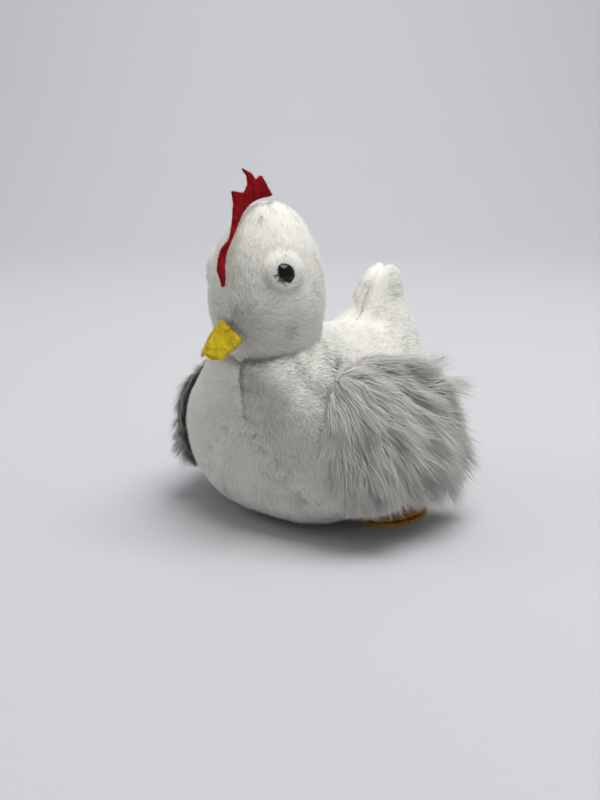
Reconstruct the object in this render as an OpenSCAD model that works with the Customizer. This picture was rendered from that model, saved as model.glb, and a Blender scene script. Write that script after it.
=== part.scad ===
// Clockwork hopping chicken: a stuffed plush skin over a small plastic clockwork that kicks both feet.
// The chicken faces -Y, its left side is +X, and it stands on z = 0.

/* [Body] */
// Half width of the stuffed body, pile included
body_half_w = 47.5; // [46:0.5:49]
// Height of the back between neck and tail
back_h = 73; // [71:0.5:75]
// Height of the tail's tip
tail_h = 90.5; // [87:0.5:94]
// Angle each side of straight down that the belly gusset spans
gusset_angle = 43; // [38:1:48]
// Share of the size at which the inside of the body skin lies
skin_inner = 0.93; // [0.91:0.005:0.95]

/* [Head] */
// Largest radius of the head, pile included
head_r = 23; // [22.5:0.1:23.5]
// Height of the top of the head above the floor
head_top = 123.5; // [122:0.5:125]
// Diameter of each eye
eye_d = 9; // [7:0.5:10]
// Thickness of the comb's felt
comb_t = 1.4; // [1:0.1:2]

/* [Wings] */
// Thickness of the long pile in the middle of a wing
wing_pile = 4; // [3:0.5:6]
// How far the wing's free end stands off the body
wing_lift = 5; // [4:0.5:7]

/* [Feet] */
// Half width of a foot
foot_half_w = 13; // [12:0.1:13.5]
// Half length of a foot
foot_half_l = 17; // [16:0.5:17]
// Height of a foot
foot_h = 5.6; // [5:0.1:5.8]
// Thickness of the felt sole
sole_t = 1.2; // [1:0.1:1.6]

/* [Clockwork] */
// Gear module
gear_m = 0.6; // [0.6]
// Teeth of the great wheel on the spring arbor
great_teeth = 40; // [40]
// Teeth of each pinion
pinion_teeth = 12; // [12]
// Teeth of the second wheel
second_teeth = 36; // [36]
// Play between the teeth, measured along the pitch circle
backlash = 0.14; // [0.1:0.02:0.2]
// Throw of the crank pin
crank_throw = 2; // [1.8:0.1:2.2]
// Radial play of every shaft in the housing
shaft_play = 0.05; // [0.03:0.01:0.08]
// Width of the mainspring's strip
spring_w = 6; // [4:0.5:6]

/* [Hidden] */
$fn = 48;
eps = 0.01;

// Body stations, breast to rump: [y, half width, underside, widest height, top, fullness above]
body_rows = [
    [-44, 0, 46, 46, 46, 1],
    [-42.6, 20, 27, 44, 64, 0.9],
    [-34.5, 37, 8, 37, 71, 0.75],
    [-18, body_half_w - 0.5, 0, 31, back_h + 1, 0.75],
    [4, body_half_w, 4.6, 30, back_h, 0.75],
    [22, body_half_w - 3, 7.4, 31, back_h, 0.72],
    [28.5, body_half_w - 5.5, 9.2, 32, back_h + 3, 0.62],
    [36, body_half_w - 10, 11, 34, tail_h - 6, 0.34],
    [44, body_half_w - 16.5, 13.3, 36, tail_h + 0.5, 0.34],
    [52, body_half_w - 28, 26, 42, tail_h - 3, 0.5],
    [57.3, 0, 52, 52, 52, 1],
];
// Below its widest height each section is fuller than an ellipse
low_power = 0.7;
body_centre = [0, 0, 35];
body_steps = 30;
pole_gap = 0.004;

// Head stations from crown to chin as [height, radius]
head_rows = [
    [head_top, 0],
    [head_top - 2, head_r - 15],
    [head_top - 8.5, head_r - 8],
    [104.5, head_r - 2.6],
    [87, head_r],
    [74, head_r - 3.2],
    [65, 12.5],
    [60.5, 0],
];
head_y = -25.2;
head_side = 0.98;
head_centre = [0, head_y, 90];
head_inner = 0.87;
head_steps = 16;

// The head is sewn to the body on one tilted plane
neck_at = [0, -40, 64.5];
neck_tilt = 14;

// Clockwork axes as [y, z]
arbor_at = [16, 28.5];
second_way = 164;
crank_way = 217;
second_at = arbor_at + gear_m * (great_teeth + pinion_teeth) / 2 * [cos(second_way), sin(second_way)];
crank_at = second_at + gear_m * (second_teeth + pinion_teeth) / 2 * [cos(crank_way), sin(crank_way)];
rocker_at = [3, 15];

arbor_r = 2;
axle_r = 1;
rocker_r = 1.5;

// Housing outline as [y, z], its wall, and where its side walls start
housing_outline = [[-19, 10], [19, 10], [30.5, 15.5], [30.5, 46.5], [-19, 46.5]];
housing_x = 17;
plate_t = 2;
screw_at = [[-15.2, 13.8], [-15.2, 43], [27, 43], [27, 17.4]];
screw_r = 1;
boss_r = 2.2;

// Places along X of what turns inside the housing
spring_x = -13.8;
ratchet_x = -7;
ratchet_t = 1.8;
great_x = -5;
great_t = 2.5;
second_x = -1.2;
second_t = 2.2;
crank_x = 2.6;
crank_t = 2;
crank_pin_l = 4;
lever_x = crank_x + crank_t + crank_pin_l + 0.4;
lever_t = 2.5;

// Place of the left foot and of the arm that carries it
foot_at = [29.5, 14];
arm_x = 25.5;
arm_t = 2.5;
plate_z = 2;

arm_w = 6;
plate_t_leg = 1.6;

// The lever stands at one end of its swing while the feet are flat
rocker_reach = norm(crank_at - rocker_at);
crank_from_rocker = crank_at - rocker_at;
lever_angle = atan2(crank_from_rocker[1], crank_from_rocker[0]) + asin(crank_throw / rocker_reach);
lever_w = 4.8;
lever_hub_r = 2.8;
crank_pin_r = 0.9;
crank_boss_l = 12;

housing_inside = [[-17.2, 11.8], [18.6, 11.8], [28.7, 16.6], [28.7, 44.7], [-17.2, 44.7]];
screw_in = 8;
screw_head_r = 2;
screw_head_t = 1.1;

pressure_angle = 25;
ratchet_teeth = 12;
ratchet_r = 5;
click_at = 8.5 * [cos(72), sin(72)];
rivet_r = 0.8;
spring_r = 10.4;
spring_turns = 7;
spring_strip = 0.35;

// The knob sits over the shaft's end, just off the grommet
knob_x = -45.6;
knob_l = 2.6;
knob_r = 6.5;
knob_seat = 1.4;
knob_gap = 0.3;
flange_t = 0.7;
knob_screw_r = 0.8;
knob_head_r = 1.9;
knob_head_t = 0.6;

eye_angle = 61;
eye_z = 99;
eye_tilt = 8;
eye_base = -2;
eye_crown = 2.9;
eye_stem_r = 1.2;
washer_r = 4;

// Free edge of the comb as [y, z], from its back corner over both points to its low tip
comb_edge = [
    [-22.4, head_top + 0.6], [-25, 127.6], [-27.4, 131.6], [-30.4, 129.8], [-32, 132.2], [-36.4, 134.4],
    [-34.2, 131.4], [-34, 128.6], [-36, 125.7], [-41.9, 126.8], [-41.2, 122.4], [-43, 115.2],
    [-44.4, 110.4], [-47.4, 107.6], [-50.3, 100], [-48.7, 94.2],
];

// Half of the folded beak: the ends of its ridge, then the corners of its left flap
beak_root = [0, -48.4, 83.4];
beak_tip = [0, -57.3, 72.8];
beak_flap = [[8, -46.2, 76.6], [5, -54, 71], [2, -56.8, 71.6]];
beak_t = 1.5;

// The wing is an oval on the body's own s and a, from its sewn front edge to its free rear edge
wing_s = 0.378;
wing_s_half = 0.176;
wing_a = 95;
wing_a_half = 48;
wing_gap = 0.6;
wing_cloth = 1;
pile_gap = 0.35;
wing_count = 28;

// ---- curves and surfaces ----

function cubic(a, b, c, d, t) =
    0.5 * (2 * b + (c - a) * t + (2 * a - 5 * b + 4 * c - d) * t * t + (3 * b - a - 3 * c + d) * t * t * t);

// A station seen from the far side of a pole, so that the surface closes round
function mirrored(row) =
    len(row) == 2 ? [row[0], -row[1]] : [row[0], -row[1], row[4], row[3], row[2], row[5]];

function station(rows, s) =
    let (last = len(rows) - 1, i = min(floor(s * last), last - 1), t = s * last - i)
    cubic(
        i == 0 ? mirrored(rows[1]) : rows[i - 1],
        rows[i],
        rows[i + 1],
        i + 2 > last ? mirrored(rows[last - 1]) : rows[i + 2],
        t
    );

function filled(v, power) = sign(v) * pow(abs(v), power);

// Across the upper half: an ellipse where k is 1, and a fin with a rounded top where it is less
function finned(v, k) = v * (k + (1 - k) * v * v);

// Point on the body: s runs from breast to rump, a turns from straight down through the left side
function body_point(s, a) =
    let (row = station(body_rows, s), low = cos(a) > 0)
    [
        row[1] * (low ? filled(sin(a), low_power) : finned(sin(a), row[5])),
        row[0],
        row[3] - (low ? row[3] - row[2] : row[4] - row[3]) * cos(a)
    ];

// Point on the head: s runs from crown to chin, a turns from the front through the left side
function head_point(s, a) =
    let (row = station(head_rows, s))
    [row[1] * head_side * sin(a), head_y - row[1] * cos(a), row[0]];

function shrunk(p, centre, k) = centre + (p - centre) * k;

function steps(from, to, count) = [for (i = [0:count]) from + (to - from) * i / count];

// Two triangles over each cell of a grid of points that starts at index base
function grid_faces(base, rows, cols, inward) = [
    for (i = [0:rows - 1], j = [0:cols - 1])
        let (p = base + i * (cols + 1) + j, q = p + cols + 1)
        each inward ? [[p, q + 1, p + 1], [p, q, q + 1]] : [[p, p + 1, q + 1], [p, q + 1, q]]
];

// Triangles that join a run of outer points to the matching inner points
function rim_faces(run, offset) = [
    for (i = [0:len(run) - 2])
        each [[run[i + 1], run[i], run[i] + offset], [run[i + 1], run[i] + offset, run[i + 1] + offset]]
];

// A closed piece of sewn skin between an outer and an inner grid of points
module skin_piece(outer, inner, rows, cols) {
    n = len(outer);
    border = concat(
        [for (j = [0:cols]) j],
        [for (i = [1:rows]) i * (cols + 1) + cols],
        [for (j = [1:cols]) rows * (cols + 1) + cols - j],
        [for (i = [1:rows]) (rows - i) * (cols + 1)]
    );
    polyhedron(
        points = concat(outer, inner),
        faces = concat(
            grid_faces(0, rows, cols, false),
            grid_faces(n, rows, cols, true),
            rim_faces(border, n)
        )
    );
}

// A closed solid through a stack of rings, each of count points, with flat ends
module stacked(rings, count) {
    levels = len(rings) - 1;
    polyhedron(
        points = [for (ring = rings) each ring],
        faces = concat(
            [
                for (i = [0:levels - 1], j = [0:count - 1])
                    let (p = i * count + j, r = i * count + (j + 1) % count)
                    each [[p, r, r + count], [p, r + count, p + count]]
            ],
            [[for (j = [0:count - 1]) count - 1 - j]],
            [[for (j = [0:count - 1]) levels * count + j]]
        )
    );
}

module body_skin(a_from, a_to, cols) {
    stations = steps(pole_gap, 1 - pole_gap, body_steps);
    outer = [for (s = stations, a = steps(a_from, a_to, cols)) body_point(s, a)];
    inner = [for (p = outer) shrunk(p, body_centre, skin_inner)];
    skin_piece(outer, inner, body_steps, cols);
}

module head_skin(a_from, a_to, cols) {
    stations = steps(pole_gap, 1 - pole_gap, head_steps);
    outer = [for (s = stations, a = steps(a_from, a_to, cols)) head_point(s, a)];
    inner = [for (p = outer) shrunk(p, head_centre, head_inner)];
    skin_piece(outer, inner, head_steps, cols);
}

// Everything above or below the plane on which head and body are sewn together
module neck_side(up) {
    translate(neck_at)
    rotate([neck_tilt, 0, 0])
    translate([-70, -60, up ? 0 : -90])
    cube([140, up ? 110 : 150, 90]);
}

// Draws along X a part made in its own plane, at [y, z] and from x on
module along_x(at, x) {
    translate([x, at[0], at[1]])
    rotate([90, 0, 90])
    children();
}

module both_sides() {
    children();
    mirror([1, 0, 0])
    children();
}

// ---- skin and stuffing ----

// The way the knob's shaft takes out through the right side
module knob_channel(r) {
    along_x(arbor_at, -60)
    cylinder(h = 60 - housing_x, r = r);
}

// The shallow ring of pile that the knob and its grommet press flat
module knob_recess() {
    along_x(arbor_at, -60)
    cylinder(h = 60 + knob_x + knob_gap + flange_t, r = knob_r + 1);
}

module leg_slots() {
    both_sides()
    translate([arm_x - 1.2, rocker_at[0] - 7, -1])
    cube([arm_t + 2.4, 14, 14]);
}

module left_body_panel() {
    color("whitesmoke")
    difference() {
        body_skin(gusset_angle, 180, 16);
        neck_side(true);
    }
}

module right_body_panel() {
    color("whitesmoke")
    difference() {
        body_skin(180, 360 - gusset_angle, 16);
        neck_side(true);
        knob_channel(3.5);
        knob_recess();
    }
}

module belly_gusset() {
    color("whitesmoke")
    difference() {
        body_skin(-gusset_angle, gusset_angle, 10);
        leg_slots();
    }
}

module body_stuffing() {
    count = 40;
    rings = [
        for (s = steps(pole_gap, 1 - pole_gap, body_steps))
            [for (j = [0:count - 1]) shrunk(body_point(s, 360 * j / count), body_centre, skin_inner - 0.018)]
    ];
    color("ivory")
    difference() {
        stacked(rings, count);
        neck_side(true);
        along_x([0, 0], -housing_x - 1)
        linear_extrude(2 * housing_x + 2)
        polygon([[-20, 0], [21, 0], [31.5, 0], [31.5, 47.5], [-20, 47.5]]);
        translate([-32, rocker_at[0] - 8, -1])
        cube([64, 16, 20]);
        knob_channel(3.6);
    }
}

module head_half(from) {
    color("whitesmoke")
    difference() {
        head_skin(from, from + 180, 12);
        neck_side(false);
        eye_seats();
    }
}

module left_head_panel() {
    head_half(0);
}

module right_head_panel() {
    head_half(180);
}

module head_stuffing() {
    count = 24;
    rings = [
        for (s = steps(pole_gap, 1 - pole_gap, head_steps))
            [for (j = [0:count - 1]) shrunk(head_point(s, 360 * j / count), head_centre, head_inner - 0.01)]
    ];
    color("ivory")
    difference() {
        stacked(rings, count);
        neck_side(false);
        eye_pockets();
    }
}

// ---- face ----

// Moves a part drawn along +Z so that it points out of the head at the left eye
module at_eye() {
    out = head_r * (1 + head_inner) / 2;
    translate([out * head_side * sin(eye_angle), head_y - out * cos(eye_angle), eye_z])
    rotate([90 - eye_tilt, 0, eye_angle])
    children();
}

// Recess for the eye in the pile and the hole for its stem
module eye_seats() {
    both_sides()
    at_eye()
    union() {
        translate([0, 0, eye_base])
        cylinder(h = 12, r = eye_d / 2 + 0.3);
        translate([0, 0, -12])
        cylinder(h = 16, r = eye_stem_r + 0.05);
    }
}

// Room for the stem and its washer behind the skin
module eye_pockets() {
    both_sides()
    at_eye()
    translate([0, 0, -8])
    cylinder(h = 20, r = washer_r + 0.3);
}

module eye() {
    r = eye_d / 2;
    ball_r = (r * r + eye_crown * eye_crown) / (2 * eye_crown);
    color("black")
    at_eye()
    union() {
        translate([0, 0, eye_base])
        rotate_extrude()
        intersection() {
            translate([0, eye_crown - ball_r])
            circle(r = ball_r);
            square([r, eye_crown]);
        }
        translate([0, 0, eye_base - 6])
        cylinder(h = 6, r = eye_stem_r);
    }
}

module left_eye() {
    eye();
}

module right_eye() {
    mirror([1, 0, 0])
    eye();
}

module eye_washers() {
    color("white")
    both_sides()
    at_eye()
    translate([0, 0, eye_base - 3.2])
    difference() {
        cylinder(h = 1, r = washer_r);
        translate([0, 0, -1])
        cylinder(h = 3, r = eye_stem_r);
    }
}

module comb() {
    base = [
        for (s = steps(0.51, 0.03, 10))
            let (p = shrunk(head_point(s, 0), head_centre, 1.006))
            [p[1], p[2]]
    ];
    color("firebrick")
    along_x([0, 0], -comb_t / 2)
    linear_extrude(comb_t)
    polygon(concat(base, comb_edge));
}

// One folded piece of felt: its ridge runs from the root to the tip and a flap hangs on each side
module beak() {
    right_flap = [for (i = [2:-1:0]) [-beak_flap[i][0], beak_flap[i][1], beak_flap[i][2]]];
    sheet = concat([beak_root], beak_flap, [beak_tip], right_flap);
    count = len(sheet);
    outside = [[0, 1, 2], [0, 2, 3], [0, 3, 4], [0, 4, 5], [0, 5, 6], [0, 6, 7]];
    color("gold")
    polyhedron(
        points = concat(sheet, [for (p = sheet) p - [0, 0, beak_t]]),
        faces = concat(
            outside,
            [for (f = outside) [f[2] + count, f[1] + count, f[0] + count]],
            rim_faces([for (i = [0:count]) i % count], count)
        )
    );
}

// ---- wings ----

// Point on the left wing: r runs from its middle to its edge, turn goes round it, out is the way off the body
function wing_point(r, turn, out) =
    let (
        s = wing_s + wing_s_half * r * cos(turn),
        u = min(1, max(0, (s - wing_s + wing_s_half) / (2 * wing_s_half))),
        p = body_point(s, wing_a + wing_a_half * r * sin(turn)) + [wing_lift * u * u * (3 - 2 * u), 0, 0],
        from_centre = p - body_centre
    )
    p + from_centre / norm(from_centre) * out;

function wing_ring(r, out) = [for (j = [0:wing_count - 1]) wing_point(r, -360 * j / wing_count, out)];

// A closed layer of the left wing that lies between two distances off the body
module wing_layer(under, over, crown) {
    radii = [0.05, 0.35, 0.6, 0.8, 0.93, 1];
    last = len(radii) - 1;
    stacked(
        concat(
            [for (r = radii) wing_ring(r, under)],
            [for (i = [last:-1:0]) wing_ring(radii[i], over + crown * sqrt(1 - radii[i] * radii[i]))]
        ),
        wing_count
    );
}

module wing_backing() {
    color("gainsboro")
    wing_layer(wing_gap, wing_gap + wing_cloth, 0);
}

module wing_pile() {
    root = wing_gap + wing_cloth + pile_gap;
    color("lightgray")
    wing_layer(root, root + 0.8, wing_pile);
}

module left_wing_backing() {
    wing_backing();
}

module left_wing_pile() {
    wing_pile();
}

module right_wing_backing() {
    mirror([1, 0, 0])
    wing_backing();
}

module right_wing_pile() {
    mirror([1, 0, 0])
    wing_pile();
}

// ---- feet and rocker ----

function oval(half_w, half_l, count) = [
    for (j = [0:count - 1]) let (turn = -360 * j / count) foot_at + [half_w * cos(turn), half_l * sin(turn)]
];

// The arm and sole plate of the left leg, grown by play all round
module leg_shape(play) {
    translate([0, 0, plate_z - play])
    linear_extrude(plate_t_leg + 2 * play)
    polygon(oval(foot_half_w - 3 + play, foot_half_l - 4 + play, 36));
    translate([arm_x - play, rocker_at[0] - arm_w / 2 - play, plate_z - play])
    cube([foot_at[0] - arm_x + 2 * play, arm_w + 2 * play, plate_t_leg + 2 * play]);
    translate([arm_x - play, rocker_at[0] - arm_w / 2 - play, plate_z - play])
    cube([arm_t + 2 * play, arm_w + 2 * play, rocker_at[1] - plate_z + 2 * play]);
}

module foot_cover() {
    count = 32;
    levels = [0, 0.2, 0.45, 0.7, 0.9, 0.99];
    color("orange")
    difference() {
        stacked(
            [
                for (v = levels)
                    let (k = sqrt(1 - v * v))
                    [
                        for (p = oval(foot_half_w, foot_half_l, count))
                            let (q = foot_at + (p - foot_at) * k)
                            [q[0], q[1], sole_t + (foot_h - sole_t) * v]
                    ]
            ],
            count
        );
        leg_shape(0);
    }
}

module foot_sole() {
    color("goldenrod")
    linear_extrude(sole_t)
    polygon(oval(foot_half_w, foot_half_l, 48));
}

module leg() {
    color("orange")
    difference() {
        union() {
            leg_shape(0);
            along_x(rocker_at, arm_x)
            cylinder(h = arm_t, r = arm_w / 2);
        }
        along_x(rocker_at, arm_x - 1)
        cylinder(h = arm_t + 2, r = rocker_r);
    }
}

module left_foot_cover() {
    foot_cover();
}

module right_foot_cover() {
    mirror([1, 0, 0])
    foot_cover();
}

module left_foot_sole() {
    foot_sole();
}

module right_foot_sole() {
    mirror([1, 0, 0])
    foot_sole();
}

module left_leg() {
    leg();
}

module right_leg() {
    mirror([1, 0, 0])
    leg();
}

// A round shaft or pin of the clockwork, from one place along X to another
module shaft(c, at, r, from, to) {
    color(c)
    along_x(at, from)
    cylinder(h = to - from, r = r);
}

module rocker_shaft() {
    shaft("silver", rocker_at, rocker_r, -arm_x - arm_t, arm_x + arm_t);
}

// The lever that the crank pin swings; its slot is open at the far end
module rocker_lever() {
    color("lightslategray")
    along_x(rocker_at, lever_x)
    rotate([0, 0, lever_angle])
    difference() {
        union() {
            cylinder(h = lever_t, r = lever_hub_r);
            translate([0, -lever_w / 2, 0])
            cube([rocker_reach + crank_throw + 1.3, lever_w, lever_t]);
        }
        translate([0, 0, -1])
        cylinder(h = lever_t + 2, r = rocker_r);
        translate([rocker_reach - crank_throw - crank_pin_r - 0.3, -crank_pin_r - 0.1, -1])
        cube([20, 2 * crank_pin_r + 0.2, lever_t + 2]);
    }
}

// ---- housing ----

module housing_half(side) {
    rotate([90, 0, 90])
    difference() {
        union() {
            difference() {
                translate([0, 0, side > 0 ? 0 : -housing_x])
                linear_extrude(housing_x)
                polygon(housing_outline);
                translate([0, 0, side > 0 ? -1 : plate_t - housing_x])
                linear_extrude(housing_x - plate_t + 1)
                polygon(housing_inside);
            }
            for (at = screw_at)
                translate([at[0], at[1], side > 0 ? 0 : plate_t - housing_x - eps])
                cylinder(h = housing_x - plate_t + eps, r = boss_r);
            if (side < 0) {
                translate([crank_at[0], crank_at[1], plate_t - housing_x - eps])
                cylinder(h = crank_boss_l, r = 2.6);
                translate([arbor_at[0], arbor_at[1] + spring_r + 1.6, plate_t - housing_x - eps])
                cylinder(h = spring_w + 1.2, r = 1);
            }
        }
        for (hole = [
            [arbor_at, arbor_r], [second_at, axle_r], [rocker_at, rocker_r],
            [crank_at, side < 0 ? axle_r : 0],
        ])
            if (hole[1] > 0)
                translate([hole[0][0], hole[0][1], -housing_x - 1])
                cylinder(h = 2 * housing_x + 2, r = hole[1] + shaft_play);
        for (at = screw_at)
            translate([at[0], at[1], -housing_x - 1])
            union() {
                cylinder(h = housing_x + 1 + screw_in, r = side > 0 ? screw_r : screw_r + 0.1);
                if (side < 0)
                    cylinder(h = 1 + screw_head_t, r = screw_head_r + 0.1);
            }
    }
}

module left_housing() {
    color("dimgray")
    housing_half(1);
}

module right_housing() {
    color("dimgray")
    housing_half(-1);
}

module housing_screws() {
    for (at = screw_at)
        color("silver")
        along_x(at, -housing_x + 0.1)
        difference() {
            union() {
                cylinder(h = screw_head_t - 0.1, r = screw_head_r);
                cylinder(h = housing_x + screw_in - 0.1, r = screw_r);
            }
            translate([-screw_head_r, -0.25, -1])
            cube([2 * screw_head_r, 0.5, 1.5]);
        }
}

// ---- gear train ----

function polar(r, turn) = r * [cos(turn), sin(turn)];

// Involute angle in degrees at radius r over a base circle of radius base
function involute(r, base) =
    let (lean = acos(min(1, base / r)))
    tan(lean) * 180 / PI - lean;

function tooth_half(r, teeth) =
    let (pitch_r = gear_m * teeth / 2, base = pitch_r * cos(pressure_angle))
    90 / teeth - backlash / 4 / pitch_r * 180 / PI + involute(pitch_r, base) - involute(r, base);

// A spur gear with a tooth centred on the angle phase
module gear(teeth, thick, bore, phase) {
    pitch_r = gear_m * teeth / 2;
    root = pitch_r - 1.25 * gear_m;
    flank = steps(max(root, pitch_r * cos(pressure_angle)), pitch_r + gear_m, 5);
    last = len(flank) - 1;
    linear_extrude(thick)
    difference() {
        polygon([
            for (k = [0:teeth - 1])
                let (at = phase + 360 * k / teeth)
                each concat(
                    [polar(root - eps, at - tooth_half(flank[0], teeth))],
                    [for (r = flank) polar(r, at - tooth_half(r, teeth))],
                    [for (i = [last:-1:0]) polar(flank[i], at + tooth_half(flank[i], teeth))],
                    [polar(root - eps, at + tooth_half(flank[0], teeth))]
                )
        ]);
        circle(r = bore);
    }
}

module great_wheel() {
    color("ivory")
    along_x(arbor_at, great_x)
    difference() {
        gear(great_teeth, great_t, arbor_r, second_way);
        translate([click_at[0], click_at[1], -1])
        cylinder(h = great_t + 2, r = rivet_r);
    }
}

module ratchet_wheel() {
    color("goldenrod")
    along_x(arbor_at, ratchet_x)
    linear_extrude(ratchet_t)
    difference() {
        polygon([
            for (k = [0:ratchet_teeth - 1])
                let (at = 360 * k / ratchet_teeth)
                each [polar(ratchet_r, at), polar(ratchet_r - 0.9, at + 1)]
        ]);
        circle(r = arbor_r);
    }
}

module click() {
    color("silver")
    along_x(arbor_at, ratchet_x)
    linear_extrude(ratchet_t)
    difference() {
        union() {
            polygon([polar(4.5, 35), polar(5.6, 32.5), polar(9.2, 64), polar(7.2, 72), polar(4.75, 42)]);
            translate(click_at)
            circle(r = 1.7);
        }
        translate(click_at)
        circle(r = rivet_r);
    }
}

module click_rivet() {
    color("goldenrod")
    along_x(arbor_at + click_at, ratchet_x - 0.6)
    union() {
        cylinder(h = 0.6, r = 1.4);
        cylinder(h = great_x + great_t - ratchet_x + 0.6, r = rivet_r);
    }
}

// The strip of the mainspring, let down, from the arbor to the post in the housing
module mainspring() {
    growth = (spring_r - arbor_r - 0.3) / (360 * spring_turns);
    coil = [for (turn = [0:15:360 * spring_turns]) [arbor_r + 0.3 + growth * turn, turn + 90]];
    last = len(coil) - 1;
    color("slategray")
    along_x(arbor_at, spring_x)
    linear_extrude(spring_w)
    polygon(concat(
        [for (c = coil) polar(c[0], c[1])],
        [for (i = [last:-1:0]) polar(coil[i][0] + spring_strip, coil[i][1])]
    ));
}

module spring_arbor() {
    color("silver")
    along_x(arbor_at, knob_x - knob_seat)
    difference() {
        cylinder(h = housing_x - 0.2 - knob_x + knob_seat, r = arbor_r);
        translate([0, 0, -1])
        cylinder(h = 6, r = knob_screw_r);
    }
}

module second_axle() {
    shaft("silver", second_at, axle_r, 0.2 - housing_x, housing_x - 0.2);
}

module second_pinion() {
    color("ivory")
    along_x(second_at, great_x - 1.4)
    gear(pinion_teeth, second_x - great_x + 1.4, axle_r, second_way + 180 + 180 / pinion_teeth);
}

module second_wheel() {
    color("ivory")
    along_x(second_at, second_x)
    gear(second_teeth, second_t, axle_r, crank_way);
}

module crank_axle() {
    shaft("silver", crank_at, axle_r, 0.2 - housing_x, crank_x + crank_t);
}

module crank_pinion() {
    color("ivory")
    along_x(crank_at, second_x - 1)
    gear(pinion_teeth, crank_x - second_x + 1, axle_r, crank_way + 180 + 180 / pinion_teeth);
}

module crank_disc() {
    pin = polar(crank_throw, lever_angle + 90);
    color("ivory")
    along_x(crank_at, crank_x)
    difference() {
        cylinder(h = crank_t, r = crank_throw + crank_pin_r + 1.4);
        translate([0, 0, -1])
        cylinder(h = crank_t + 2, r = axle_r);
        translate([pin[0], pin[1], -1])
        cylinder(h = crank_t + 2, r = crank_pin_r);
    }
}

module crank_pin() {
    at = crank_at + polar(crank_throw, lever_angle + 90);
    shaft("silver", at, crank_pin_r, crank_x, crank_x + crank_t + crank_pin_l);
}

// ---- knob ----

module knob_grommet() {
    color("whitesmoke")
    along_x(arbor_at, knob_x + knob_gap)
    difference() {
        union() {
            cylinder(h = flange_t, r = 5.4);
            cylinder(h = 5, r = 3.4);
        }
        translate([0, 0, -1])
        cylinder(h = 8, r = arbor_r + 0.3);
    }
}

module winding_knob() {
    color("orange")
    along_x(arbor_at, knob_x - knob_l)
    difference() {
        union() {
            translate([0, 0, knob_l - 1.8])
            cylinder(h = 1.8, r = knob_r);
            cylinder(h = knob_l, r = 4);
            translate([-knob_r + 0.6, -1.6, 0])
            cube([2 * knob_r - 1.2, 3.2, knob_l]);
        }
        translate([0, 0, knob_l - knob_seat])
        cylinder(h = knob_seat + 1, r = arbor_r);
        translate([0, 0, -1])
        cylinder(h = knob_l, r = knob_screw_r);
        translate([0, 0, -1])
        cylinder(h = 1 + knob_head_t + 0.1, r = knob_head_r + 0.1);
    }
}

module knob_screw() {
    color("silver")
    along_x(arbor_at, knob_x - knob_l + 0.1)
    difference() {
        union() {
            cylinder(h = knob_head_t, r = knob_head_r);
            cylinder(h = knob_l - knob_seat + 4.5, r = knob_screw_r);
        }
        translate([-knob_head_r, -0.25, -1])
        cube([2 * knob_head_r, 0.5, 1.5]);
    }
}

left_body_panel();
right_body_panel();
belly_gusset();
body_stuffing();
left_head_panel();
right_head_panel();
head_stuffing();
comb();
beak();
left_eye();
right_eye();
eye_washers();
left_wing_backing();
left_wing_pile();
right_wing_backing();
right_wing_pile();
left_foot_cover();
right_foot_cover();
left_foot_sole();
right_foot_sole();
left_leg();
right_leg();
rocker_shaft();
rocker_lever();
left_housing();
right_housing();
housing_screws();
spring_arbor();
mainspring();
great_wheel();
ratchet_wheel();
click();
click_rivet();
second_axle();
second_pinion();
second_wheel();
crank_axle();
crank_pinion();
crank_disc();
crank_pin();
knob_grommet();
winding_knob();
knob_screw();
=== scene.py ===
"""A wind-up plush chicken: sewn and stuffed skins, cut pile, felt comb and beak, long-pile wings."""
import math

import bmesh
import bpy
import numpy as np
from mathutils import Matrix, Vector
from mathutils.bvhtree import BVHTree
from mathutils.kdtree import KDTree


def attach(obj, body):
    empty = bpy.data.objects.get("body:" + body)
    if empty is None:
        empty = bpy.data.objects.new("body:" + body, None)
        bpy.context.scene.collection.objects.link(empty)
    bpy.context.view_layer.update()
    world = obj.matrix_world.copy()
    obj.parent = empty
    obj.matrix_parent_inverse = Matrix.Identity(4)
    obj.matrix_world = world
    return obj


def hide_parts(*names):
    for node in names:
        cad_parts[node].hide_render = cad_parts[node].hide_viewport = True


MM = 0.001
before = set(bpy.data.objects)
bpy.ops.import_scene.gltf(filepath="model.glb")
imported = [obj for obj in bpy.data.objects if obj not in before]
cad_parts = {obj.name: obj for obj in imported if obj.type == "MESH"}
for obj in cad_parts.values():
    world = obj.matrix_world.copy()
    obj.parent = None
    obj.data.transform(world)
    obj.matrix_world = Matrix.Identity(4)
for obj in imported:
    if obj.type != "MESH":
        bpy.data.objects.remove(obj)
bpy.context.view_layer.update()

# Lengths in millimetres
SHORT_PILE = 2.4
LONG_PILE = 17.0
FOOT_PILE = 1.8
HAIR = 0.34          # a tuft of the finest fibres, drawn coarser than one fibre so that it shows
LONG_HAIR = 0.2
SKIN_INSET = 1.9     # the ground cloth lies this far under the tips of the cut pile
SWELL = 1.3          # the most that the filling pushes the cloth out between its seams
NECK_AT = np.array([0, -40, 64.5]) * MM
NECK_UP = np.array([0, -math.sin(math.radians(14)), math.cos(math.radians(14))])
BODY_WHORL = np.array([0, -34, 62]) * MM   # the nap lies away from here, under the chin
HEAD_WHORL = np.array([0, -50, 76]) * MM   # and on the head away from the beak
WING_REACH = 67.5 * MM                     # the long pile is trimmed to this far from the middle
WING_LOCKS = 320                           # the locks that each layer of a wing's pile falls into
EYE_CLEAR = 3.3 * MM                       # no pile is rooted nearer than this to the middle of an eye
SEAM_CLEAR = 0.25 * MM                     # or nearer than this to a seam
EYE_WAY = np.array([0.866, -0.48, 0.139])

BODY_MIDDLE = Vector((0, 14, 36)) * MM
HEAD_MIDDLE = Vector((0, -25.2, 91)) * MM


# ---- numbers and points ----

def unit(vectors):
    """Each row made one long."""
    return vectors / np.maximum(np.linalg.norm(vectors, axis=-1, keepdims=True), 1e-12)


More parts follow.
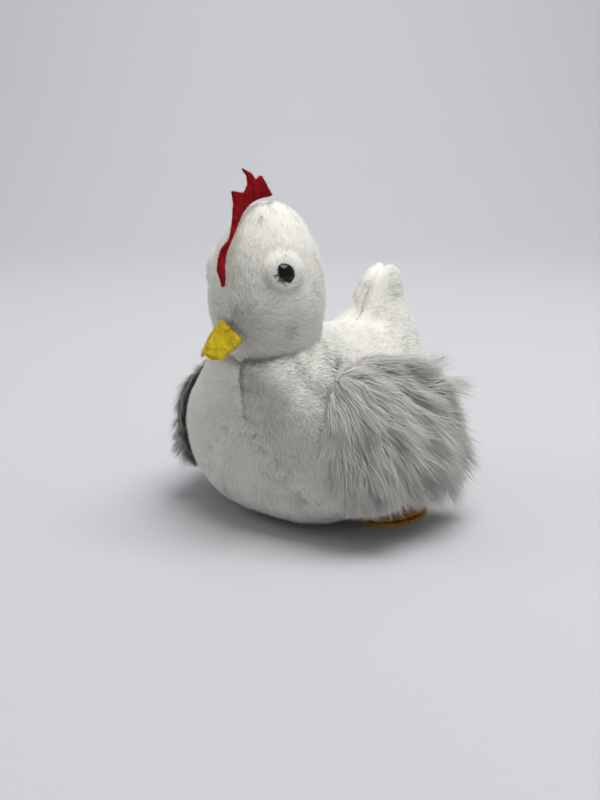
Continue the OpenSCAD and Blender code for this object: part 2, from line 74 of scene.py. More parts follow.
def points_of(mesh):
    """A mesh's vertices as rows."""
    flat = np.zeros(len(mesh.vertices) * 3)
    mesh.vertices.foreach_get("co", flat)
    return flat.reshape(-1, 3)


def normals_of(mesh):
    """A mesh's vertex normals as rows."""
    flat = np.zeros(len(mesh.vertices) * 3)
    mesh.vertices.foreach_get("normal", flat)
    return flat.reshape(-1, 3)


def face_middles(mesh):
    """The middle of each of a mesh's faces, as rows."""
    flat = np.zeros(len(mesh.polygons) * 3)
    mesh.polygons.foreach_get("center", flat)
    return flat.reshape(-1, 3)


def put_points(mesh, points):
    """Moves a mesh's vertices to these rows."""
    mesh.vertices.foreach_set("co", np.ascontiguousarray(points, np.float32).ravel())
    mesh.update()


def shaded_smooth(mesh):
    """Makes every face of a mesh shade smoothly."""
    mesh.polygons.foreach_set("use_smooth", np.ones(len(mesh.polygons), bool))


def drift(points, size_mm, rng, waves=9):
    """A smooth random lean at each point that changes over about size_mm."""
    lean = np.zeros_like(points)
    for _ in range(waves):
        wave = unit(rng.normal(size=3)) * 2 * math.pi / (size_mm * MM) * rng.uniform(0.5, 1.2)
        lean += np.sin(points @ wave + rng.uniform(0, 2 * math.pi))[:, None] * rng.normal(size=3)
    return lean / math.sqrt(waves)


def near(points, places):
    """How far each point is from the nearest of some places, and which that is."""
    tree = KDTree(len(places))
    for i, place in enumerate(places):
        tree.insert(place, i)
    tree.balance()
    found = [tree.find(p) for p in points]
    return np.array([f[2] for f in found]), np.array([f[1] for f in found], int)


# ---- materials ----

def linear(code):
    """An sRGB hex colour as the shader's linear one."""
    parts = [int(code[i:i + 2], 16) / 255 for i in (1, 3, 5)]
    return tuple(c / 12.92 if c <= 0.04045 else ((c + 0.055) / 1.055) ** 2.4 for c in parts) + (1,)


def add(tree, kind, inputs=None, **settings):
    """Adds a node with its settings, and its inputs as values or links."""
    made = tree.nodes.new(kind)
    for name, value in settings.items():
        setattr(made, name, value)
    for name, value in (inputs or {}).items():
        if isinstance(value, bpy.types.NodeSocket):
            tree.links.new(value, made.inputs[name])
        else:
            made.inputs[name].default_value = value
    return made


def surface(name, **values):
    """A new material, its node tree, its shader, and the place on the piece in metres."""
    made = bpy.data.materials.new(name)
    made.use_nodes = True
    tree = made.node_tree
    tree.nodes.clear()
    shader = add(tree, "ShaderNodeBsdfPrincipled", {k.replace("_", " "): v for k, v in values.items()})
    add(tree, "ShaderNodeOutputMaterial", {"Surface": shader.outputs["BSDF"]})
    place = add(tree, "ShaderNodeTexCoord").outputs["Object"]
    return made, tree, shader, place


def mottled(tree, shader, place, colours, size_mm, detail=4.0):
    """Colours the shader with patches of about size_mm, from the first hex colour to the last."""
    noise = add(tree, "ShaderNodeTexNoise", {"Vector": place, "Scale": 1 / (size_mm * MM), "Detail": detail})
    ramp = add(tree, "ShaderNodeValToRGB", {"Fac": noise.outputs["Fac"]})
    ends = ramp.color_ramp.elements
    ends[0].position, ends[1].position = 0.32, 0.68
    ends[0].color, ends[1].color = linear(colours[0]), linear(colours[1])
    tree.links.new(ramp.outputs["Color"], shader.inputs["Base Color"])
    return noise


def embossed(tree, shader, height, depth_mm, strength=1.0):
    """Gives the shader a fine relief of that depth."""
    bump = add(tree, "ShaderNodeBump", {"Height": height, "Distance": depth_mm * MM, "Strength": strength})
    tree.links.new(bump.outputs["Normal"], shader.inputs["Normal"])


def knitted_ground(name, light, dark):
    """Warp-knitted polyester that the pile stands in: matt, in loops of about half a millimetre."""
    made, tree, shader, place = surface(name, Roughness=0.92)
    mottled(tree, shader, place, (dark, light), 4.5)
    loops = add(tree, "ShaderNodeTexVoronoi", {"Vector": place, "Scale": 1 / (0.55 * MM)})
    embossed(tree, shader, loops.outputs["Distance"], 0.2, 0.7)
    return made


def pile_fibre(name, code, roughness=0.75, sheen=0.2):
    """Polyester staple, dull with a soft sheen where light grazes it."""
    made, _, shader, _ = surface(name, Roughness=roughness, Sheen_Weight=sheen, Sheen_Roughness=0.4)
    shader.inputs["Base Color"].default_value = linear(code)
    shader.inputs["Specular IOR Level"].default_value = 0.15
    return made


def felt(name, light, dark):
    """Pressed wool felt: no weave, short tangled fibres, quite matt, mottled where the dye took unevenly."""
    made, tree, shader, place = surface(name, Roughness=0.95, Specular_IOR_Level=0.15)
    mottled(tree, shader, place, (dark, light), 2.2, 6.0)
    fibres = add(
        tree, "ShaderNodeTexNoise",
        {"Vector": place, "Scale": 1 / (0.5 * MM), "Detail": 5.0, "Distortion": 1.5},
    )
    embossed(tree, shader, fibres.outputs["Fac"], 0.35, 0.9)
    return made


def moulded(name, light, dark, roughness, coat=0.0, shine=0.5):
    """Injection-moulded plastic: even colour, a fine sparked texture from the mould."""
    made, tree, shader, place = surface(name, Roughness=roughness, Specular_IOR_Level=shine, Coat_Weight=coat)
    mottled(tree, shader, place, (dark, light), 9.0, 2.0)
    grain = add(tree, "ShaderNodeTexNoise", {"Vector": place, "Scale": 1 / (0.6 * MM), "Detail": 3.0})
    embossed(tree, shader, grain.outputs["Fac"], 0.02, 0.4)
    return made


def metal(name, light, dark, roughness, grain_mm=0.4):
    """Turned or rolled metal: fine lines round or along it from the tool."""
    made, tree, shader, place = surface(name, Metallic=1.0, Roughness=roughness)
    stretched = add(tree, "ShaderNodeMapping", {"Vector": place, "Scale": (0.15, 1, 1)})
    lines = mottled(tree, shader, stretched.outputs["Vector"], (dark, light), grain_mm, 3.0)
    embossed(tree, shader, lines.outputs["Fac"], 0.01, 0.5)
    return made


WHITE_GROUND = knitted_ground("white_knitted_ground", "#EFEDE5", "#E4E1D8")
# The wings' ground cloth is white like the body's; its grey here is painted shade, for the shade that lies on
# the wings
WING_GROUND_PAINTED_SHADE = knitted_ground("white_knitted_ground_painted_shade", "#A8A59F", "#96928B")
ORANGE_GROUND = knitted_ground("orange_knitted_ground", "#E8A83A", "#D08C26")
WHITE_PILE = [
    pile_fibre("white_cut_pile_bright", "#F4F2EA"),
    pile_fibre("white_cut_pile", "#EEEBE2"),
    pile_fibre("white_cut_pile_dull", "#E6E2D8"),
]
# The wings' long pile is white fibre; these three greys are painted shade, darker than the body's pile for
# the shade on the wings, each hair taking one of them at random
LONG_PILE_PAINTED_SHADE = [
    pile_fibre("long_pile_bright", "#CCC9C3", 0.6),
    pile_fibre("long_pile", "#B6B3AD", 0.6),
    pile_fibre("long_pile_deepest_painted_shade", "#98958F", 0.6),
]
ORANGE_PILE = [
    pile_fibre("orange_cut_pile_bright", "#F4BC50"),
    pile_fibre("orange_cut_pile", "#E8A63A"),
    pile_fibre("orange_cut_pile_deep", "#CE8826"),
]
RED_FELT = felt("red_wool_felt", "#B3141F", "#6E0A12")
RED_FUZZ = [
    pile_fibre("red_felt_fuzz", "#B01822", 0.9, 0),
    pile_fibre("red_felt_fuzz_deep", "#780C14", 0.9, 0),
]
YELLOW_FELT = felt("yellow_wool_felt", "#E8CE2C", "#A98F18")
YELLOW_FUZZ = [
    pile_fibre("yellow_felt_fuzz", "#E6CE34", 0.9, 0),
    pile_fibre("yellow_felt_fuzz_deep", "#B0981C", 0.9, 0),
]
SOLE_FELT = felt("tan_sole_felt", "#D8A24A", "#B0802E")
EYE_PLASTIC = moulded("black_polished_acrylic", "#0A0B0C", "#050506", 0.06, 0.1, 0.25)
WASHER_PLASTIC = moulded("white_polypropylene", "#E6E4DE", "#D8D6CF", 0.5)
CASE_PLASTIC = moulded("black_abs_case", "#2A2B2E", "#1F2023", 0.45)
GEAR_PLASTIC = moulded("ivory_acetal_gears", "#EAE5D2", "#DCD6C0", 0.35)
LEVER_PLASTIC = moulded("grey_acetal_lever", "#6B747C", "#586068", 0.35)
LEG_PLASTIC = moulded("orange_polypropylene_legs", "#DD8626", "#C87418", 0.42)
KNOB_PLASTIC = moulded("orange_abs_knob", "#E07E1E", "#CC6C12", 0.3, 0.2)
PLATED_STEEL = metal("zinc_plated_steel", "#B9BCC0", "#9A9DA2", 0.32)
SPRING_STEEL = metal("blued_spring_steel", "#5A6272", "#3C4250", 0.28)
BRASS = metal("rolled_brass", "#C9A45A", "#A8823C", 0.3)


# ---- pieces ----

def piece(name, mesh, body, materials, slot, *nodes):
    """A finished piece in the scene, on its body, standing for its CAD nodes."""
    made = bpy.data.objects.new(name, mesh)
    bpy.context.scene.collection.objects.link(made)
    mesh.materials.clear()
    for m in materials:
        mesh.materials.append(m)
    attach(made, body)
    if nodes:
        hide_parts(*nodes)
    return made


def loose(name, mesh):
    """A mesh being worked on, as an object that isn't part of the toy yet."""
    made = bpy.data.objects.new(name, mesh)
    bpy.context.scene.collection.objects.link(made)
    return made


def with_modifiers(work):
    """The mesh of an object with its modifiers applied; the object is removed."""
    view = bpy.context.evaluated_depsgraph_get()
    mesh = bpy.data.meshes.new_from_object(work.evaluated_get(view))
    old = work.data
    bpy.data.objects.remove(work)
    bpy.data.meshes.remove(old)
    return mesh


def remeshed(mesh, voxel_mm, smooth=4):
    """The mesh again in even quads of voxel_mm, its corners a little rounded."""
    work = loose("remesh", mesh)
    grid = work.modifiers.new("grid", "REMESH")
    grid.mode = "VOXEL"
    grid.voxel_size = voxel_mm * MM
    if smooth:
        rounding = work.modifiers.new("rounding", "SMOOTH")
        rounding.factor = 0.5
        rounding.iterations = smooth
    return with_modifiers(work)


def finer(mesh, levels=1):
    """The mesh again with each face split, on a smooth surface."""
    work = loose("finer", mesh)
    split = work.modifiers.new("split", "SUBSURF")
    split.levels = levels
    return with_modifiers(work)


def node_mesh(*nodes):
    """A new mesh of some CAD nodes together."""
    joined = bmesh.new()
    for name in nodes:
        joined.from_mesh(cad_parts[name].data)
    bmesh.ops.remove_doubles(joined, verts=joined.verts, dist=1e-6)
    mesh = bpy.data.meshes.new("+".join(nodes)[:40])
    joined.to_mesh(mesh)
    joined.free()
    return mesh


def outer_form(nodes, middle, voxel_mm):
    """The closed outer surface of some CAD solids, seen from middle, in even quads."""
    solids = node_mesh(*nodes)
    tree = tree_of(solids)
    ball = bmesh.new()
    bmesh.ops.create_icosphere(ball, subdivisions=6, radius=1)
    ball.verts.ensure_lookup_table()
    far = 0.2
    reach = np.zeros(len(ball.verts))
    for i, v in enumerate(ball.verts):
        place = tree.ray_cast(middle + v.co * far, -v.co, far)[0]
        reach[i] = (place - middle).length if place else 0
    edges = np.array([[e.verts[0].index, e.verts[1].index] for e in ball.edges])
    count = np.bincount(edges.ravel(), minlength=len(reach))
    for _ in range(14):  # closes the slots that the legs pass through
        around = np.bincount(edges[:, 0], reach[edges[:, 1]], len(reach))
        around += np.bincount(edges[:, 1], reach[edges[:, 0]], len(reach))
        reach = np.maximum(reach, 0.985 * around / count)
    for v, r in zip(ball.verts, reach):
        v.co = middle + v.co * r
    mesh = bpy.data.meshes.new("form")
    ball.to_mesh(mesh)
    ball.free()
    bpy.data.meshes.remove(solids)
    return remeshed(mesh, voxel_mm)


def inset(mesh, depth_mm):
    """Draws the surface in along its normals."""
    put_points(mesh, points_of(mesh) - normals_of(mesh) * depth_mm * MM)


def gathered_at_neck(mesh, swell_mm, towards_mm, reach_mm):
    """Swells the skin beside the seam between head and body, and brings the two together there."""
    points = points_of(mesh)
    from_seam = (points - NECK_AT) @ NECK_UP
    close = np.exp(-(from_seam / (reach_mm * MM)) ** 2)
    moved = normals_of(mesh) * swell_mm + NECK_UP * towards_mm
    put_points(mesh, points + moved * (close * MM)[:, None])


def stuffed(mesh, held, swell_mm):
    """Lets the filling swell the cloth by up to swell_mm, by simulation, with some points held."""
    work = loose("stuffed", mesh)
    work.vertex_groups.new(name="held").add([int(i) for i in np.flatnonzero(held)], 1.0, "REPLACE")
    cloth = work.modifiers.new("filling", "CLOTH")
    cloth.settings.vertex_group_mass = "held"
    cloth.settings.use_pressure = True
    cloth.settings.uniform_pressure_force = 4
    cloth.settings.effector_weights.gravity = 0
    cloth.collision_settings.use_collision = False
    start = points_of(mesh)
    scene = bpy.context.scene
    for step in range(1, 21):
        scene.frame_set(step)
    view = bpy.context.evaluated_depsgraph_get()
    moved = points_of(work.evaluated_get(view).data) - start
    far = np.maximum(np.linalg.norm(moved, axis=1, keepdims=True), 1e-9)
    work.modifiers.remove(cloth)
    scene.frame_set(1)
    put_points(mesh, start + moved / far * np.tanh(far / (swell_mm * MM)) * swell_mm * MM)
    bpy.data.objects.remove(work)
    return mesh


def part_of(mesh, wanted, name):
    """A new mesh of only the faces that are wanted."""
    kept = bmesh.new()
    kept.from_mesh(mesh)
    kept.faces.ensure_lookup_table()
    bmesh.ops.delete(kept, geom=[f for f, w in zip(list(kept.faces), wanted) if not w], context="FACES")
    made = bpy.data.meshes.new(name)
    kept.to_mesh(made)
    kept.free()
    shaded_smooth(made)
    return made


# ---- pile ----

def scattered(mesh, per_mm2, rng):
    """Places spread evenly over a mesh, about per_mm2 of them to a square millimetre, and their normals."""
    mesh.calc_loop_triangles()
    corners = np.zeros(len(mesh.loop_triangles) * 3, np.int32)
    mesh.loop_triangles.foreach_get("vertices", corners)
    corners = corners.reshape(-1, 3)
    points, normals = points_of(mesh), normals_of(mesh)
    a, b, c = (points[corners[:, i]] for i in range(3))
    area = np.linalg.norm(np.cross(b - a, c - a), axis=1) / 2
    count = int(area.sum() / MM ** 2 * per_mm2)
    chosen = rng.choice(len(area), count, p=area / area.sum())
    u, v = rng.random((2, count, 1))
    u, v = np.where(u + v > 1, 1 - u, u), np.where(u + v > 1, 1 - v, v)
    w = 1 - u - v
    tri = corners[chosen]
    place = points[tri[:, 0]] * w + points[tri[:, 1]] * u + points[tri[:, 2]] * v
    normal = normals[tri[:, 0]] * w + normals[tri[:, 1]] * u + normals[tri[:, 2]] * v
    return place, unit(normal)


def hairs(name, lines, up, width_mm, tones, rng):
    """A mesh of flat tapering hairs, one along each row of points, with their flat sides outwards."""
    count, rings = lines.shape[0], lines.shape[1] - 1
    along = unit(lines[:, 1:] - lines[:, :-1])
    side = unit(np.cross(along, unit(up + rng.normal(size=up.shape) * 0.12)[:, None]))
    share = np.arange(rings) / rings
    taper = width_mm * MM / 2 * (1 - 0.75 * share ** 1.4)
    half = taper[None, :, None] * rng.uniform(0.7, 1.3, (count, 1, 1))
    each = 2 * rings + 1
    points = np.zeros((count, each, 3))
    points[:, 0:2 * rings:2] = lines[:, :-1] - side * half
    points[:, 1:2 * rings:2] = lines[:, :-1] + side * half
    points[:, -1] = lines[:, -1]
    quads = [t for i in range(rings - 1) for t in (
        [2 * i, 2 * i + 1, 2 * i + 3], [2 * i, 2 * i + 3, 2 * i + 2])]
    one = np.array(quads + [[2 * rings - 2, 2 * rings - 1, 2 * rings]])
    faces = (np.arange(count)[:, None, None] * each + one[None]).reshape(-1, 3)
    mesh = bpy.data.meshes.new(name)
    mesh.vertices.add(count * each)
    mesh.loops.add(faces.size)
    mesh.polygons.add(len(faces))
    mesh.vertices.foreach_set("co", points.astype(np.float32).ravel())
    mesh.loops.foreach_set("vertex_index", faces.astype(np.int32).ravel())
    mesh.polygons.foreach_set("loop_start", np.arange(0, faces.size, 3, dtype=np.int32))
    tone = np.repeat(rng.integers(0, tones, count), len(one))
    mesh.polygons.foreach_set("material_index", tone.astype(np.int32))
    shaded_smooth(mesh)
    mesh.update(calc_edges=True)
    soft = unit(np.repeat(up + rng.normal(size=up.shape) * 0.14, each, axis=0))
    mesh.normals_split_custom_set_from_vertices(soft)
    return mesh


def grown(roots, ways, bends, lengths, rings):
    """Hair lines from their roots: each sets out its way and turns towards its bend."""
    share = np.linspace(0, 1, rings + 1)
    lines = roots[:, None] + ways[:, None] * (share * lengths[:, None])[..., None]
    lines = lines + bends[:, None] * (share ** 2 * lengths[:, None])[..., None]
    lines[..., 2] = np.maximum(lines[..., 2], 0.3 * MM + 0.2 * MM * share)
    return lines


def short_pile(name, mesh, body, length_mm, per_mm2, rng, parting, whorl):
    """Cut pile on a skin, lying away from its whorl, in tufts that lean together, shorter beside a seam."""
    roots, up = scattered(mesh, per_mm2, rng)
    nap = unit(roots - whorl) + drift(roots, 5, rng) * 0.22 + drift(roots, 16, rng) * 0.3
    nap = nap - up * (nap * up).sum(1, keepdims=True)
    nap = nap / (np.linalg.norm(nap, axis=1, keepdims=True) + 0.15)
    ways = unit(up * 0.62 + nap * 0.85 + rng.normal(size=roots.shape) * 0.11)
    lengths = length_mm * MM * rng.uniform(0.75, 1.12, len(roots))
    keep, ways, lengths = parting(roots, ways, lengths)
    roots, up, ways, lengths = roots[keep], up[keep], ways[keep], lengths[keep]
    lines = grown(roots, ways, np.zeros_like(roots), lengths, 1)
    return piece(name, hairs(name, lines, up, HAIR, len(WHITE_PILE), rng), body, WHITE_PILE, "plush")


# ---- skins ----

def seam_points(one, other, skin):
    """Points along the outer edge of the seam between two CAD panels, laid on the inset skin."""
    here = points_of(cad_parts[one].data)
    away, _ = near(here, points_of(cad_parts[other].data))
    found = [skin.find_nearest(Vector(p)) for p in here[away < 0.2 * MM]]
    return [f[0] for f in found if f[3] > 1.7 * MM]


def filled_in(places, gap_mm=2.2):
    """Points along a seam with the gaps between neighbours filled."""
    places = np.array(places)
    more = [places]
    for i, p in enumerate(places):
        away = np.linalg.norm(places - p, axis=1)
        for j in np.argsort(away)[1:5]:
            if away[j] < 7 * MM:
                steps = max(2, int(away[j] / (gap_mm * MM) * 3))
                share = np.linspace(0, 1, steps)[1:-1, None]
                more.append(p + (places[j] - p) * share)
    return np.concatenate(more)


def tree_of(mesh):
    """The mesh's surface, to lay points on or measure from."""
    return BVHTree.FromPolygons([v.co for v in mesh.vertices], [tuple(p.vertices) for p in mesh.polygons])


def seam_groove(mesh, away, depth_mm, half_mm):
    """Draws the skin in along a seam, given how far each point is from it."""
    pull = depth_mm * MM * np.exp(-(away / (half_mm * MM)) ** 2)
    put_points(mesh, points_of(mesh) - normals_of(mesh) * pull[:, None])


def drawn_round(mesh, crown, out):
    """Brings the skin up round an eye, so that the eye sits in it as a button does."""
    points = points_of(mesh)
    off = (points - crown) / MM
    height = off @ out
    aside = np.linalg.norm(off - height[:, None] * out, axis=1)
    share = np.clip((8 - aside) / 3, 0, 1) * (height > -12)
    level = -1.6 - aside ** 2 / 46
    share = share * share * (3 - 2 * share) * (level - height)
    put_points(mesh, points + out * share[:, None] * MM)


def parted_from(places, clear_mm):
    """A rule for pile beside a seam: it is shorter, and it leans away from it."""
    def rule(roots, ways, lengths):
        away, which = near(roots, places)
        close = np.exp(-(away / (clear_mm * MM)) ** 2)
        aside = unit(roots - places[which])
        ways = unit(ways + aside * (close * 1.0)[:, None])
        return away > SEAM_CLEAR, ways, lengths * (1 - 0.75 * close)
    return rule


def centre_line(mesh, wanted):
    """Points of a skin on its middle plane where wanted says so."""
    points = points_of(mesh)
    return points[(np.abs(points[:, 0]) < 1.3 * MM) & wanted(points)] * [0, 1, 1]


def body_skin():
    """The three sewn panels of the body, stuffed, with their pile."""
    rng = np.random.default_rng(11)
    nodes = ["left_body_panel", "right_body_panel", "belly_gusset"]
    form = outer_form(nodes + ["body_stuffing"], BODY_MIDDLE, 2.3)
    inset(form, SKIN_INSET + 0.7)
    gathered_at_neck(form, 2.6, 3.0, 7)
    skin = tree_of(form)
    gusset = seam_points("belly_gusset", "left_body_panel", skin)
    gusset += seam_points("belly_gusset", "right_body_panel", skin)
    ridge = centre_line(form, lambda p: (p[:, 2] > 44 * MM) & ((p[:, 1] < -30 * MM) | (p[:, 1] > 8 * MM)))
    seams = filled_in(np.concatenate([np.array(gusset), ridge]))
    away, _ = near(points_of(form), seams)
    held = (away < 1.6 * MM) | (points_of(form)[:, 2] < 5 * MM)
    stuffed(form, held, SWELL)
    form = finer(form)
    skin = tree_of(form)
    seams = np.array([skin.find_nearest(Vector(p))[0] for p in seams])
    away, _ = near(points_of(form), seams)
    seam_groove(form, away, 1.8, 2.0)
    skin = tree_of(form)
    seams = np.array([skin.find_nearest(Vector(p))[0] for p in seams])
    middles = face_middles(form)
    panels = [tree_of(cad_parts[n].data) for n in nodes]
    owner = np.array([np.argmin([t.find_nearest(Vector(m))[3] for t in panels]) for m in middles])
    rule = parted_from(seams, 1.8)
    for i, node in enumerate(nodes):
        skin_mesh = part_of(form, owner == i, node + "_skin")
        stands_for = [node] + (["body_stuffing"] if node == "belly_gusset" else [])
        piece(node + "_skin", skin_mesh, "body", [WHITE_GROUND], "plush", *stands_for)
        short_pile(node + "_pile", skin_mesh, "body", SHORT_PILE, 8.5, rng, rule, BODY_WHORL)
    return form


def head_skin(eyes):
    """The two halves of the head, stuffed, drawn in a little at each eye, with their pile."""
    rng = np.random.default_rng(12)
    nodes = ["left_head_panel", "right_head_panel"]
    form = outer_form(nodes + ["head_stuffing"], HEAD_MIDDLE, 1.9)
    inset(form, SKIN_INSET + 0.3)
    gathered_at_neck(form, 1.2, -3.0, 6)
    ridge = centre_line(form, lambda p: (p[:, 1] > -26 * MM) | (p[:, 2] > 84 * MM))
    away, _ = near(points_of(form), ridge)
    held = (away < 1.3 * MM) | (points_of(form)[:, 2] < 68 * MM)
    stuffed(form, held, SWELL * 0.7)
    form = finer(form)
    away, _ = near(points_of(form), ridge)
    seam_groove(form, away, 0.6, 1.3)
    for eye, sign in zip(eyes, (1, -1)):
        drawn_round(form, np.array(eye), EYE_WAY * [sign, 1, 1])
    middles = face_middles(form)

    def rule(roots, ways, lengths):
        away, which = near(roots, ridge)
        close = np.exp(-(away / (1.1 * MM)) ** 2)
        ways = unit(ways + unit(roots - ridge[which]) * (close * 0.7)[:, None])
        from_eye = np.full(len(roots), 1.0)
        for eye, sign in zip(eyes, (1, -1)):
            out = EYE_WAY * [sign, 1, 1]
            aside = roots - np.array(eye)
            aside -= (aside @ out)[:, None] * out
            front = (roots - np.array(eye)) @ out > -12 * MM
            from_eye = np.where(front, np.minimum(from_eye, np.linalg.norm(aside, axis=1)), from_eye)
        return from_eye > EYE_CLEAR, ways, lengths * (1 - 0.35 * close)

    for i, node in enumerate(nodes):
        side = middles[:, 0] > 0 if i == 0 else middles[:, 0] <= 0
        skin_mesh = part_of(form, side, node + "_skin")
        stands_for = [node] + (["head_stuffing"] if i == 0 else [])
        piece(node + "_skin", skin_mesh, "body", [WHITE_GROUND], "plush", *stands_for)
        short_pile(node + "_pile", skin_mesh, "body", SHORT_PILE * 0.95, 9.5, rng, rule, HEAD_WHORL)
    return form


# ---- felt ----

def fuzz(name, mesh, body, tones, slot, rng, length_mm=0.7):
    """The short stray fibres that stand off felt, spread evenly over it."""
    roots, up = scattered(mesh, 6.0, rng)
    ways = unit(up + rng.normal(size=roots.shape) * 0.8)
    bends = rng.normal(size=roots.shape) * 0.5
    lengths = length_mm * MM * rng.uniform(0.4, 1.2, len(roots))
    lines = grown(roots, ways, bends, lengths, 2)
    return piece(name, hairs(name, lines, up, 0.09, len(tones), rng), body, tones, slot)


def comb():
    """A flat cut of red felt, waved by handling, its points curling over."""
    rng = np.random.default_rng(13)
    mesh = remeshed(node_mesh("comb"), 0.42, 2)
    points = points_of(mesh)
    y, z = points[:, 1] / MM, points[:, 2] / MM
    low = np.clip((112 - z) / 18, 0, 1)
    high = np.clip((z - 124) / 10, 0, 1)
    points[:, 0] += (1.3 * low * np.sin((z - 92) / 3.4) * np.clip((-y - 40) / 6, 0, 1)) * MM
    points[:, 0] += (0.5 * np.sin((z - 100) / 5.0 + y / 6) - 1.6 * high ** 2) * MM
    put_points(mesh, points)
    shaded_smooth(mesh)
    cut = piece("comb_felt", mesh, "body", [RED_FELT], "comb_felt", "comb")
    fuzz("comb_fuzz", mesh, "body", RED_FUZZ, "comb_felt", rng)


def beak():
    """A folded piece of yellow felt, its corners a little rounded."""
    rng = np.random.default_rng(14)
    mesh = remeshed(node_mesh("beak"), 0.34, 5)
    shaded_smooth(mesh)
    piece("beak_felt", mesh, "body", [YELLOW_FELT], "beak_felt", "beak")
    fuzz("beak_fuzz", mesh, "body", YELLOW_FUZZ, "beak_felt", rng)


# ---- wings ----

def wing(side, front_share):
    """One wing: its ground cloth and its long pile, in locks, shorter at the front by front_share."""
    sign = 1 if side == "left" else -1
    rng = np.random.default_rng(15 if side == "left" else 16)
    body = side + "_wing"
    cloth = finer(remeshed(node_mesh(side + "_wing_backing"), 1.3, 3))
    shaded_smooth(cloth)
    backing = piece(side + "_wing_cloth", cloth, body, [WING_GROUND_PAINTED_SHADE], "wing_cloth", side + "_wing_backing")
    fan = np.array([sign * 30, -27, 70]) * MM
    gravity = np.array([0, 0, -1.0])
    for layer, (per_mm2, reach) in enumerate(((6.5, 0.8), (6.5, 1.0))):
        roots, up = scattered(cloth, per_mm2, rng)
        outside = up[:, 0] * sign > -0.15
        roots, up = roots[outside], up[outside]
        away = roots - fan
        flow = unit(away - up * (away * up).sum(1, keepdims=True))
        flow = unit(flow + drift(roots, 16, rng) * 0.3)
        locks = roots[rng.choice(len(roots), WING_LOCKS, replace=False)]
        _, lock = near(roots, locks)
        lock_lean = rng.normal(size=(WING_LOCKS, 3)) * 0.22
        lock_length = rng.uniform(0.7, 1.1, WING_LOCKS)
        lengths = LONG_PILE * MM * reach * lock_length[lock] * rng.uniform(0.8, 1.08, len(roots))
        from_front = np.clip((roots[:, 1] + 34 * MM) / (34 * MM), 0, 1)
        low = np.clip((34 * MM - roots[:, 2]) / (24 * MM), 0, 1)
        rear = np.clip((roots[:, 1] - 12 * MM) / (20 * MM), 0, 1)
        lengths *= (front_share + (1 - front_share) * from_front) * (1 - 0.2 * low) * (1 - 0.35 * rear)
        rise = 0.16 + 0.1 * layer + 0.14 * np.clip(from_front - low, 0, 1)[:, None]
        ways = unit(up * rise + flow * 0.9 + lock_lean[lock] * 0.7 + rng.normal(size=roots.shape) * 0.12)
        share = np.linspace(0, 1, 6)
        lines = roots[:, None] + ways[:, None] * (share * lengths[:, None])[..., None]
        falls = flow * 0.15 + gravity * 0.34 - up * 0.1 + lock_lean[lock] * 0.6
        lines += falls[:, None] * (share ** 2 * lengths[:, None])[..., None]
        tips = locks[lock] + (lines[:, -1] - roots)
        lines += (tips - lines[:, -1])[:, None] * (share ** 1.6 * 0.4)[None, :, None]
        turns = rng.uniform(4, 9, (len(roots), 1, 1)), rng.uniform(0, 6, (len(roots), 1, 1))
        wave = np.sin(share[None, :, None] * turns[0] + turns[1])
        lines += wave * rng.normal(size=(len(roots), 1, 3)) * 0.3 * MM * share[None, :, None]
        trim = np.interp(roots[:, 1] / MM, [-5, 8, 18], [13, 8, 1.5]) * MM  # cut to show the foot in front
        falls = np.maximum(roots[:, 2] - lines[:, -1, 2], 1e-6)
        kept = np.clip((roots[:, 2] - trim) / falls, 0.22, 1)[:, None, None]
        lines = roots[:, None] + (lines - roots[:, None]) * kept
        spread = np.maximum(np.abs(lines[..., 0]).max(axis=1) - np.abs(roots[:, 0]), 1e-6)
        kept = np.clip((WING_REACH - np.abs(roots[:, 0])) / spread, 0.1, 1)[:, None, None]
        lines = roots[:, None] + (lines - roots[:, None]) * kept
        name = side + ("_wing_pile", "_wing_top_pile")[layer]
        mesh = hairs(name, lines, up, LONG_HAIR, len(LONG_PILE_PAINTED_SHADE), rng)
        stands_for = [side + "_wing_pile"] if layer == 0 else []
        piece(name, mesh, body, LONG_PILE_PAINTED_SHADE, "wing_pile", *stands_for)


# ---- feet ----

def foot(side):
    """A plush foot over its leg plate, on a felt sole."""
    rng = np.random.default_rng(17 if side == "left" else 18)
    cover = remeshed(node_mesh(side + "_foot_cover"), 0.9, 4)
    inset(cover, 0.8)
    cover = finer(cover)
    shaded_smooth(cover)
    skin = piece(side + "_foot_skin", cover, "feet", [ORANGE_GROUND], "foot_plush", side + "_foot_cover")
    roots, up = scattered(cover, 5.0, rng)
    out = up[:, 2] > -0.2
    roots, up = roots[out], up[out]
    ways = unit(up + drift(roots, 4, rng) * 0.35 + rng.normal(size=roots.shape) * 0.25)
    lengths = FOOT_PILE * MM * rng.uniform(0.7, 1.1, len(roots))
    lines = grown(roots, ways, rng.normal(size=roots.shape) * 0.15, lengths, 2)
    name = side + "_foot_pile"
    piece(name, hairs(name, lines, up, 0.2, len(ORANGE_PILE), rng), "feet", ORANGE_PILE, "foot_plush")


# ---- what stays as made in the frame ----

FINISHES = {
    EYE_PLASTIC: ["left_eye", "right_eye"],
    WASHER_PLASTIC: ["eye_washers", "knob_grommet"],
    CASE_PLASTIC: ["left_housing", "right_housing"],
    GEAR_PLASTIC: ["great_wheel", "second_pinion", "second_wheel", "crank_pinion", "crank_disc"],
    LEVER_PLASTIC: ["rocker_lever"],
    LEG_PLASTIC: ["left_leg", "right_leg"],
    KNOB_PLASTIC: ["winding_knob"],
    PLATED_STEEL: [
        "rocker_shaft", "housing_screws", "spring_arbor", "second_axle", "crank_axle", "crank_pin", "click",
        "knob_screw",
    ],
    SPRING_STEEL: ["mainspring"],
    BRASS: ["ratchet_wheel", "click_rivet"],
    SOLE_FELT: ["left_foot_sole", "right_foot_sole"],
}
for finish, names in FINISHES.items():
    for name in names:
        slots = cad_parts[name].data.materials
        slots.clear()
        slots.append(finish)


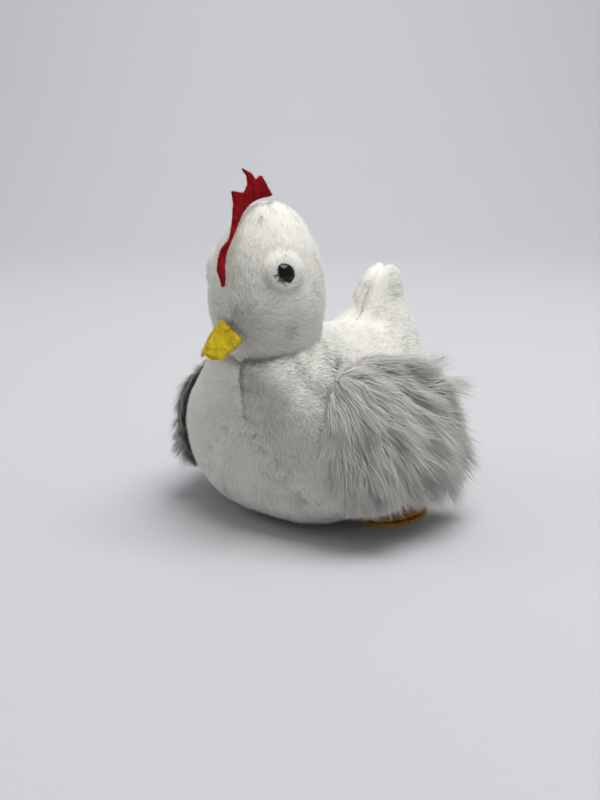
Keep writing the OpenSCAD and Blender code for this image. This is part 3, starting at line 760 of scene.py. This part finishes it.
def eye_crown(name, sign):
    """The outermost point of an eye."""
    points = points_of(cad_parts[name].data)
    return Vector(points[np.argmax(points @ (EYE_WAY * [sign, 1, 1]))])


EYES = [eye_crown("left_eye", 1), eye_crown("right_eye", -1)]


# ---- studio ----

def studio():
    """A pale paper sweep, a soft light overhead, a weak one in front, one on the paper, and the camera."""
    sweep = bmesh.new()
    rows = []
    for j in range(25):
        if j < 8:
            y, z = -1.2 + j * 0.25, 0.0
        else:
            turn = min(1, (j - 8) / 10) * math.pi / 2
            y, z = 0.8 + 0.7 * math.sin(turn), 0.7 - 0.7 * math.cos(turn) + max(0, j - 18) * 0.25
        rows.append([sweep.verts.new((x, y, z)) for x in (-3, 3)])
    for a, b in zip(rows, rows[1:]):
        sweep.faces.new((a[0], a[1], b[1], b[0]))
    bmesh.ops.rotate(sweep, verts=sweep.verts, matrix=Matrix.Rotation(math.radians(41), 3, "Z"))
    mesh = bpy.data.meshes.new("paper_sweep")
    sweep.to_mesh(mesh)
    sweep.free()
    shaded_smooth(mesh)
    floor = loose("paper_sweep", mesh)
    paper, tree, shader, place = surface("matt_paper", Roughness=0.9)
    shader.inputs["Base Color"].default_value = linear("#C6C7C9")
    mesh.materials.append(paper)

    def lamp(name, place, aim, watts, size):
        data = bpy.data.lights.new(name, "AREA")
        data.energy, data.size = watts, size
        made = bpy.data.objects.new(name, data)
        bpy.context.scene.collection.objects.link(made)
        made.location = place
        made.rotation_euler = (Vector(aim) - Vector(place)).to_track_quat("-Z", "Y").to_euler()

    lamp("overhead", (0.22, 0.05, 1.05), (0, 0, 0.04), 10, 0.7)
    lamp("window", (-0.75, -0.6, 0.6), (0, 0, 0.06), 1.3, 0.5)
    lamp("backdrop", (-0.35, 0.35, 1.15), (-0.75, 0.95, 0.75), 7, 0.6)
    world = bpy.data.worlds.new("room")
    bpy.context.scene.world = world
    world.use_nodes = True
    world.node_tree.nodes["Background"].inputs["Color"].default_value = linear("#E4E7EC")
    world.node_tree.nodes["Background"].inputs["Strength"].default_value = 0.42
    bpy.context.scene.view_settings.view_transform = "Standard"

    data = bpy.data.cameras.new("camera")
    data.lens, data.sensor_width = 47.25, 36
    camera = bpy.data.objects.new("camera", data)
    bpy.context.scene.collection.objects.link(camera)
    camera.location = Vector((258.2, -303.8, 150.7)) * MM
    back = Vector((0.6337, -0.7290, 0.2588))
    camera.rotation_euler = (-back).to_track_quat("-Z", "Y").to_euler()
    bpy.context.scene.camera = camera


studio()
body_form = body_skin()
head_form = head_skin(EYES)
comb()
beak()
for side in ("left", "right"):
    wing(side, 0.65 if side == "left" else 0.35)
    foot(side)
for leftover in (body_form, head_form):
    bpy.data.meshes.remove(leftover)
